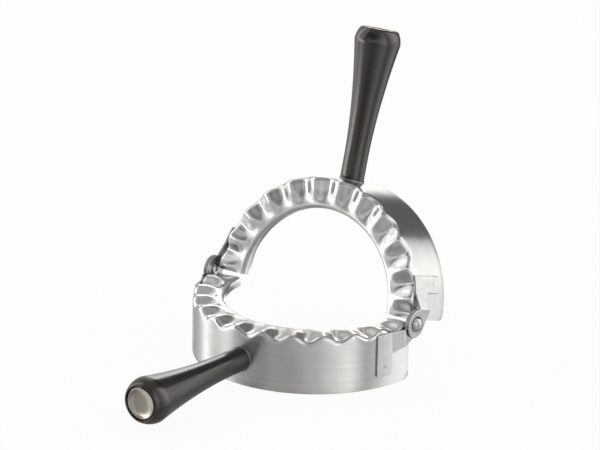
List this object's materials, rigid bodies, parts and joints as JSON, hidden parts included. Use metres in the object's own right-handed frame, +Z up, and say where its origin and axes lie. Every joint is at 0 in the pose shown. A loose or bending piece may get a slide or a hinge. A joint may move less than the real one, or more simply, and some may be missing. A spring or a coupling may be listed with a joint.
{
  "type": "empanada press",
  "caption": "Hinged empanada press: like half rings of pressed steel with fluted crimp rims and a round cutting edge, riveted ear brackets and flared black handles.",
  "frame": {"origin": "centre of the lower half ring's circle, at the level of its cutting edge, which is the surface that the press stands on", "axes": "+X along the hinge axis to the right, -Y the way the lower handle points, +Z up; the hinge axis lies straight above the origin"},
  "size_m": [0.1327, 0.2012, 0.1589],
  "materials": {
    "pressed_steel": "polished to satin stainless sheet",
    "strap_steel": "satin stainless strap",
    "fastener_steel": "plain steel",
    "rivet_steel": "bright steel",
    "satin_cap": "fine satin metal",
    "black_grip": "satin black plastic"
  },
  "bodies": {
    "lower_half": {"lower_pressing": "pressed_steel", "lower_right_bracket": "strap_steel", "lower_left_bracket": "strap_steel", "lower_stud": "fastener_steel", "lower_seat_ring": "strap_steel", "lower_grip": "black_grip", "lower_washer": "fastener_steel", "lower_nut": "fastener_steel", "lower_end_cap": "satin_cap", "right_rivet": "rivet_steel", "left_rivet": "rivet_steel"},
    "upper_half": {"upper_pressing": "pressed_steel", "upper_left_bracket": "strap_steel", "upper_right_bracket": "strap_steel", "upper_stud": "fastener_steel", "upper_seat_ring": "strap_steel", "upper_grip": "black_grip", "upper_washer": "fastener_steel", "upper_nut": "fastener_steel", "upper_end_cap": "satin_cap"}
  },
  "joints": [
    {"name": "press_hinge", "type": "hinge", "parent": "lower_half", "child": "upper_half", "pos_m": [0, 0, 0.029], "axis": [1, 0, 0], "range_deg": [-73, 107]}
  ]
}
